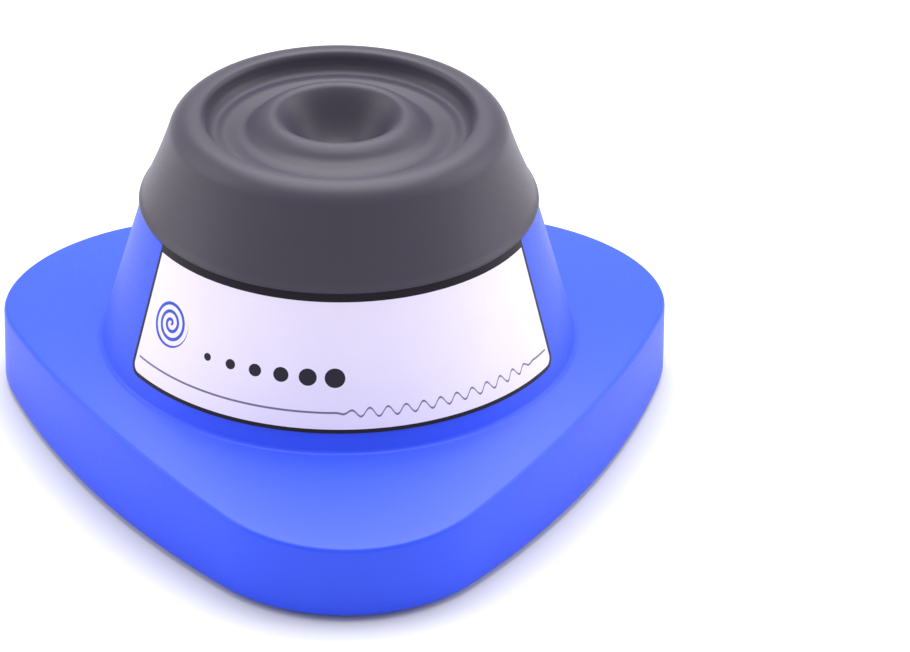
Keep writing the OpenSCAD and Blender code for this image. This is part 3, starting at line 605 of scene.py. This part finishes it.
def cap_pieces():
    line = cap_line()
    under = offset_line(line, -WEB_T)
    crest = max(range(len(line)), key=lambda i: line[i][1])

    def first_inside(radius):
        return next(i for i in range(crest, len(line)) if line[i][0] <= radius + 1e-6)

    fixed_end, web_end, wave_end = first_inside(25.3), first_inside(18.8), first_inside(15.8)

    def shift(i):
        return ORBIT * smoothstep((line[web_end][0] - line[i][0]) / (line[web_end][0] - line[wave_end][0]))

    def rows(start, end):
        outer = [(*line[i], shift(i)) for i in range(start, end + 1)]
        return outer + [(*under[i], shift(i)) for i in range(end, start - 1, -1)]

    deck = DECK_Z - CAP_Z
    seat = [under[fixed_end], (25.6, deck + 0.1), (neck_r(DECK_Z) + 0.1, deck + 0.1), (CAP_R - RUBBER_T - 0.1, 0)]
    cup_under = [(14.9, 13.4), (15.2, 11.2), (13.2, 5.4), (0, 5.4)]
    shapes = {
        "cap_side": line[:fixed_end + 1] + seat,
        "cap_web": rows(fixed_end, web_end),
        "cap_wave": rows(web_end, wave_end),
        "cap_cup": [(*p, ORBIT) for p in line[wave_end:] + cup_under[::-1]],
    }
    made = {}
    for name, profile in shapes.items():
        solid = turned([(r, z + CAP_Z, *s) for r, z, *s in profile], 288, (0, SPINDLE_Y))
        made[name] = finished(name, solid, FINISHES["cap_rubber"], 50)
    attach(made["cap_side"], "base")
    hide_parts("rubber_skirt")
    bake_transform(made["cap_web"])
    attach(made["cap_wave"], "rotor")
    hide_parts("rubber_diaphragm")
    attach(made["cap_cup"], "cup_head")
    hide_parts("rubber_cup")


# ======== Label ========
def label():
    """The film on the tower: a bent sheet with round lower corners."""
    low, high = LABEL_LOW.z, CAP_Z - 0.05
    slant = math.cos(math.radians(TOWER_LEAN))
    height = (high - low) / slant
    half = LABEL_MID_R * math.radians(LABEL_HALF)
    corner = [LABEL_CORNER * (1 - math.cos(math.radians(9 * i))) for i in range(11)]
    across = [-half + c for c in corner]
    across += [mix(-half + LABEL_CORNER, half - LABEL_CORNER, i / 90) for i in range(1, 90)]
    across += [half - c for c in corner[::-1]]
    up_steps = 12
    points, prints = [], []
    for out in (0.03, 0.03 + LABEL_T):
        for x in across:
            reach = max(0, LABEL_CORNER - (half - abs(x)))
            foot = LABEL_CORNER - math.sqrt(max(0, LABEL_CORNER ** 2 - reach ** 2))
            for j in range(up_steps + 1):
                y = mix(foot, height, j / up_steps)
                z = low + y * slant
                place = polar(tower_r(z) + out, -90 + math.degrees(x / LABEL_MID_R))
                points.append((place[0], place[1] + SPINDLE_Y, z))
                prints.append((x / 100, y / 100))
    columns, rows = len(across), up_steps + 1
    sheet = columns * rows
    faces = []
    for c in range(columns - 1):
        for r in range(up_steps):
            a = c * rows + r
            inner = (a, a + rows, a + rows + 1, a + 1)
            faces += [inner, tuple(sheet + i for i in inner[::-1])]
    edge = [c * rows for c in range(columns)] + [(columns - 1) * rows + r for r in range(1, rows)]
    edge += [c * rows + up_steps for c in range(columns - 2, -1, -1)] + list(range(up_steps - 1, 0, -1))
    for a, b in zip(edge, edge[1:] + edge[:1]):
        faces.append((a, b, sheet + b, sheet + a))
    mesh = bpy.data.meshes.new("label")
    mesh.from_pydata([Vector(p) * MM for p in points], [], faces)
    uv = mesh.uv_layers.new(name="print")
    for loop in mesh.loops:
        uv.data[loop.index].uv = prints[loop.vertex_index]
    shape = bmesh.new()
    shape.from_mesh(mesh)
    bmesh.ops.recalc_face_normals(shape, faces=shape.faces)
    shape.to_mesh(mesh)
    shape.free()
    piece = finished("label_film", mesh, printed_film(height))
    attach(piece, "base")
    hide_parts("front_label")


# ======== Geometry trees for what repeats or follows a path ========
def new_tree(name, **sizes):
    """A tree with a geometry input, a Material input and one number input for each size, and its inputs."""
    tree = bpy.data.node_groups.new(name, "GeometryNodeTree")
    tree.interface.new_socket("Geometry", in_out="OUTPUT", socket_type="NodeSocketGeometry")
    tree.interface.new_socket("Geometry", in_out="INPUT", socket_type="NodeSocketGeometry")
    tree.interface.new_socket("Material", in_out="INPUT", socket_type="NodeSocketMaterial")
    for size, value in sizes.items():
        kind = "NodeSocketInt" if isinstance(value, int) else "NodeSocketFloat"
        tree.interface.new_socket(size, in_out="INPUT", socket_type=kind).default_value = value
    return tree, add(tree, "NodeGroupInput").outputs


def close_tree(tree, geometry, material):
    real = add(tree, "GeometryNodeRealizeInstances", {}, {0: geometry}).outputs[0]
    painted = add(tree, "GeometryNodeSetMaterial", {}, {"Geometry": real, "Material": material}).outputs[0]
    add(tree, "NodeGroupOutput", {}, {0: painted})
    return tree


def ring_tree():
    """Sets copies of a shape evenly round a circle."""
    tree, sizes = new_tree("round_a_circle", count=3, reach=0.01, first_angle=0.0)
    line = add(tree, "GeometryNodeMeshLine", {"Offset": (0, 0, 0)}, {"Count": sizes["count"]}).outputs[0]
    turns = formula(tree, "DIVIDE", add(tree, "GeometryNodeInputIndex").outputs[0], sizes["count"])
    angle = formula(tree, "ADD", formula(tree, "MULTIPLY", turns, 2 * math.pi), sizes["first_angle"])
    x, y = (formula(tree, "MULTIPLY", sizes["reach"], formula(tree, kind, angle)) for kind in ("COSINE", "SINE"))
    place = add(tree, "ShaderNodeCombineXYZ", {}, {"X": x, "Y": y}).outputs[0]
    points = add(tree, "GeometryNodeSetPosition", {}, {"Geometry": line, "Position": place}).outputs[0]
    copies = add(tree, "GeometryNodeInstanceOnPoints", {}, {"Points": points, "Instance": sizes["Geometry"]})
    return close_tree(tree, copies.outputs[0], sizes["Material"])


def coil_tree():
    """Winds a round wire into a coil that stands on the origin, beside whatever comes in."""
    tree, sizes = new_tree("wound_wire", turns=4.0, coil_radius=0.003, rise=0.006, wire_radius=0.0003, start=0.0)
    line = add(tree, "GeometryNodeCurveSpiral", {"Resolution": 28}, {
        "Rotations": sizes["turns"], "Start Radius": sizes["coil_radius"],
        "End Radius": sizes["coil_radius"], "Height": sizes["rise"],
    })
    section = add(tree, "GeometryNodeCurvePrimitiveCircle", {"Resolution": 10}, {"Radius": sizes["wire_radius"]})
    wire = add(tree, "GeometryNodeCurveToMesh", {"Fill Caps": True}, {
        "Curve": line.outputs[0], "Profile Curve": section.outputs[0]})
    lift = add(tree, "ShaderNodeCombineXYZ", {}, {"Z": sizes["start"]})
    wire = add(tree, "GeometryNodeTransform", {}, {"Geometry": wire.outputs[0], "Translation": lift.outputs[0]})
    both = add(tree, "GeometryNodeJoinGeometry")
    for part in (sizes["Geometry"], wire.outputs[0]):
        tree.links.new(part, both.inputs[0])
    return close_tree(tree, both.outputs[0], sizes["Material"])


def lead_tree():
    """A round insulated lead along a line of points."""
    tree, sizes = new_tree("insulated_lead", radius=0.0006, step=0.0005)
    line = add(tree, "GeometryNodeMeshToCurve", {}, {0: sizes["Geometry"]})
    line = add(tree, "GeometryNodeCurveSplineType", {}, {0: line.outputs[0]}, spline_type="CATMULL_ROM")
    line = add(tree, "GeometryNodeResampleCurve", {}, {"Curve": line.outputs[0], "Length": sizes["step"]}, mode="LENGTH")
    section = add(tree, "GeometryNodeCurvePrimitiveCircle", {"Resolution": 12}, {"Radius": sizes["radius"]})
    skin = add(tree, "GeometryNodeCurveToMesh", {"Fill Caps": True}, {
        "Curve": line.outputs[0], "Profile Curve": section.outputs[0]})
    return close_tree(tree, skin.outputs[0], sizes["Material"])


ROUND_A_CIRCLE, WOUND_WIRE, INSULATED_LEAD = ring_tree(), coil_tree(), lead_tree()


def grow(mesh, material, *stages):
    """The mesh after each tree in turn, given as (tree, sizes)."""
    piece = bpy.data.objects.new("grown", mesh)
    bpy.context.scene.collection.objects.link(piece)
    for tree, sizes in stages:
        modifier = piece.modifiers.new(tree.name, "NODES")
        modifier.node_group = tree
        for socket in tree.interface.items_tree:
            if socket.in_out == "INPUT" and socket.name in {"Material", *sizes}:
                modifier[socket.identifier] = {"Material": material, **sizes}[socket.name]
    return plain_mesh(piece)


def take_place(name, mesh, body, node, material_slot, sharp=35):
    """Makes a piece of a mesh that is in its place, and lets it stand for a CAD node."""
    piece = finished(name, mesh, FINISHES[material_slot], sharp)
    if body:
        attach(piece, body)
    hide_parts(node)
    return piece


# ======== Fasteners ========
def box_tool(size, low, high):
    """An upright box centred on the axis."""
    x, y = size[0] / 2, size[1] / 2
    corners = [(sx * x, sy * y, z) for z in (low, high) for sx, sy in ((-1, -1), (1, -1), (1, 1), (-1, 1))]
    return mesh_of(corners, [(0, 1, 2, 3), (4, 5, 6, 7), (0, 1, 5, 4), (1, 2, 6, 5), (2, 3, 7, 6), (3, 0, 4, 7)])


def screw(head_r, head_h, shank_r, shank_len, recess, sunk=False):
    """One screw, its head's seat at the origin and its axis up. A sunk head tapers down from its flat top."""
    tip = min(0.8, shank_len / 3)
    shank = [(0, -shank_len), (shank_r * 0.55, -shank_len), (shank_r, -shank_len + tip)]
    if sunk:
        head = [(shank_r, 0), (head_r, head_h - 0.15), (head_r, head_h)]
    else:
        crown = [(head_r * math.cos(t), head_h * (0.45 + 0.55 * math.sin(t))) for t in (0.1 * k for k in range(13))]
        head = [(shank_r, 0), (head_r * 0.94, 0), (head_r, 0.08 * head_h)] + crown
    solid = turned([*shank, *head, (0, head_h)], 40)
    depth = head_h * 0.45
    if recess == "hex":
        return cut(solid, turned([(0, depth), (head_r * 0.5, depth), (head_r * 0.5, 9), (0, 9)], 6), "DIFFERENCE")
    sizes = [(head_r * 1.15, head_r * 0.24)]
    if recess == "cross":
        sizes.append(sizes[0][::-1])
    for size in sizes:
        solid = cut(solid, box_tool(size, depth, head_h * 2), "DIFFERENCE")
    return solid


def screw_sets():
    """Every set of screws: threaded, set round its circle, then turned and put in its place."""
    down, level, front = Matrix.Rotation(math.pi, 4, "X"), Matrix.Identity(4), Matrix.Rotation(math.pi / 2, 4, "X")
    plate_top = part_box("motor_bracket")[1].z / MM
    screw_low, screw_high = (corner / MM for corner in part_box("guide_screws"))
    switch_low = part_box("switch_screws")[0] / MM
    switch_mid = (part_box("switch_screws")[0].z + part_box("switch_screws")[1].z) / 2 / MM
    board_low, board_high = (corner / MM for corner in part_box("board_screws"))
    ballast_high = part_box("ballast_screws")[1].z / MM
    cover_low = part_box("cover_screws")[0].z / MM
    # node, body, head radius and height, shank radius and length, recess, count, reach, first angle, turn, place
    sets = [
        ("cover_screws", "base", 2.9, 1.1, 1.2, 9.5, "cross", 3, BOSS_REACH, -30, down, (0, SPINDLE_Y, cover_low + 1.1)),
        ("ballast_screws", "base", 2.8, 1.6, 1.2, 6.1, "cross", 3, 30.8, 30, level,
         (0, SPINDLE_Y, ballast_high - 1.6)),
        ("board_screws", "base", 1.9, 1.2, 0.85, 4.0, "cross", 2, board_high.x - 1.9, 0, level,
         (0, board_low.y + 1.9, board_high.z - 1.2)),
        ("switch_screws", "base", 1.5, 0.9, 0.75, 7.9, "slot", 2, 3.2, 0, front, (0, switch_low.y + 0.9, switch_mid)),
        ("guide_screws", "base", 3.5, 2.0, 1.4, screw_high.z - screw_low.z - 2, "hex", 3, GUIDE_REACH, 30, level,
         (0, SPINDLE_Y, screw_high.z - 2)),
        ("motor_screws", "carriage", 2.4, 1.2, 1.2, 1.6, "slot", 2, 8.0, 0, level, (0, SPINDLE_Y, plate_top - 1.3)),
    ]
    material = FINISHES["screw_steel"]
    for node, body, head_r, head_h, shank_r, shank_len, recess, count, reach, angle, turn, place in sets:
        pitch = shank_r * 0.35
        thread_len = min(shank_len * 0.8, 7.5)
        thread = {
            "turns": thread_len / pitch, "coil_radius": (shank_r - 0.04) * MM, "rise": thread_len * MM,
            "wire_radius": pitch * 0.3 * MM, "start": -shank_len * MM + 0.15 * MM,
        }
        circle = {"count": count, "reach": reach * MM, "first_angle": math.radians(angle)}
        solid = screw(head_r, head_h, shank_r, shank_len, recess, node == "motor_screws")
        if node == "guide_screws":
            sleeve = turned([(0, -8.15 + 0), (1.9, -8.15), (1.9, 0.02), (0, 0.02)], 40)
            solid = cut(solid, sleeve, "UNION")
        mesh = grow(solid, material, (WOUND_WIRE, thread), (ROUND_A_CIRCLE, circle))
        mesh.transform(Matrix.Translation(Vector(place) * MM) @ turn)
        take_place(node + "_set", mesh, body, node, "screw_steel")


# ======== Springs, bearing balls, leads and feet ========
def press_springs():
    low, high = (corner.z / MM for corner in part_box("press_springs"))
    coil = {
        "turns": 4.5, "coil_radius": SPRING_MID_R * MM, "rise": (high - low - 2 * SPRING_WIRE_R) * MM,
        "wire_radius": SPRING_WIRE_R * MM, "start": (low + SPRING_WIRE_R) * MM,
    }
    circle = {"count": 3, "reach": GUIDE_REACH * MM, "first_angle": math.radians(30)}
    mesh = grow(bpy.data.meshes.new("none"), FINISHES["spring_steel"], (WOUND_WIRE, coil), (ROUND_A_CIRCLE, circle))
    mesh.transform(Matrix.Translation((0, SPINDLE_Y * MM, 0)))
    piece = take_place("coil_springs", mesh, None, "press_springs", "spring_steel")
    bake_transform(piece)


def bearing_balls():
    low, high = (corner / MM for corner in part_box("bearing_balls"))
    ball_r = (high.z - low.z) / 2
    shape = bmesh.new()
    bmesh.ops.create_icosphere(shape, subdivisions=3, radius=ball_r * MM)
    ball = bpy.data.meshes.new("ball")
    shape.to_mesh(ball)
    shape.free()
    circle = {"count": 7, "reach": 4.75 * MM, "first_angle": 0.0}
    mesh = grow(ball, FINISHES["bearing_steel"], (ROUND_A_CIRCLE, circle))
    mesh.transform(Matrix.Translation(Vector((0, SPINDLE_Y + ORBIT, (low.z + high.z) / 2)) * MM))
    take_place("steel_balls", mesh, "cup_head", "bearing_balls", "bearing_steel", 80)


def lead_mesh(route, material):
    """Both leads of a pair: a route of points on the right, and its mirror image on the left."""
    halves = []
    for side in (-1, 1):
        line = bpy.data.meshes.new("route")
        points = [Vector((side * x, y + SPINDLE_Y, z)) * MM for x, y, z in route]
        line.from_pydata(points, [(i, i + 1) for i in range(len(points) - 1)], [])
        halves.append(grow(line, material, (INSULATED_LEAD, {"radius": LEAD_R * MM, "step": 0.5 * MM})))
    both = bmesh.new()
    for half in halves:
        both.from_mesh(half)
    mesh = bpy.data.meshes.new("leads")
    both.to_mesh(mesh)
    both.free()
    return mesh


def leads():
    """The motor's red leads and the switch's black ones."""
    motor = [(4.5, 9.2, 7.2), (5.6, 11, 6.9), (8.8, 15.2, 6.5), (9.8, 18.2, 6.7), (9.8, 26.3, 7.9),
             (8.6, 28.5, 8.7), (5.4, 28.95, 10), (3.6, 29.95, 9.8), (3.6, 30.85, 9.8)]
    switch = [(8.2, 22, 25.55), (8.2, 22.4, 22.95), (8.2, 24, 18.95), (8.2, 27.7, 16.8), (7, 28.5, 13.8),
              (4.4, 28.95, 12.2), (2.4, 29.45, 10.7), (1.4, 30.05, 9.9), (1.4, 30.85, 9.9)]
    piece = take_place("motor_lead_pair", lead_mesh(motor, FINISHES["lead_red"]), None, "motor_leads", "lead_red")
    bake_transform(piece)
    mesh = lead_mesh(switch, FINISHES["lead_black"])
    take_place("switch_lead_pair", mesh, "base", "switch_leads", "lead_black")


def feet():
    """Three rubber feet, each with a gripping ring round a shallow dish."""
    for name, (low, high) in {n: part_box(n) for n in ("foot_front", "foot_left", "foot_right")}.items():
        middle = ((low.x + high.x) / 2 / MM, (low.y + high.y) / 2 / MM)
        r, top = (high.x - low.x) / 2 / MM, high.z / MM
        dish = [(0, 0.5), (2.2, 0.5), (2.5, 0.25), (3.1, 0.25), (3.4, 0.5), (r - 4.2, 0.5), (r - 2.9, 0.06)]
        tread = [(r - 2.6, 0), (r - 1.7, 0), (r - 1.6, 0.15), (r - 1.3, 0.15), (r - 1.2, 0), (r - 0.6, 0)]
        side = [(r - 0.2, 0.3), (r, 0.8), (r, top - 0.2), (r - 0.2, top), (0, top)]
        mesh = turned(dish + tread + side, 96, middle)
        take_place(name + "_pad", mesh, "base", name, "foot_rubber", 25)


def cad_finishes():
    """Gives every CAD node that still shows the finish of its slot."""
    slots = {row["node"]: row["material_slot"] for row in frame["record"]["subparts"]}
    for name, node in frame["nodes"].items():
        node.data.materials.clear()
        node.data.materials.append(FINISHES.get(slots[name], FINISHES["blue_shell"]))


camera()
studio()
blue_housing()
cap_pieces()
label()
screw_sets()
press_springs()
bearing_balls()
leads()
feet()
cad_finishes()
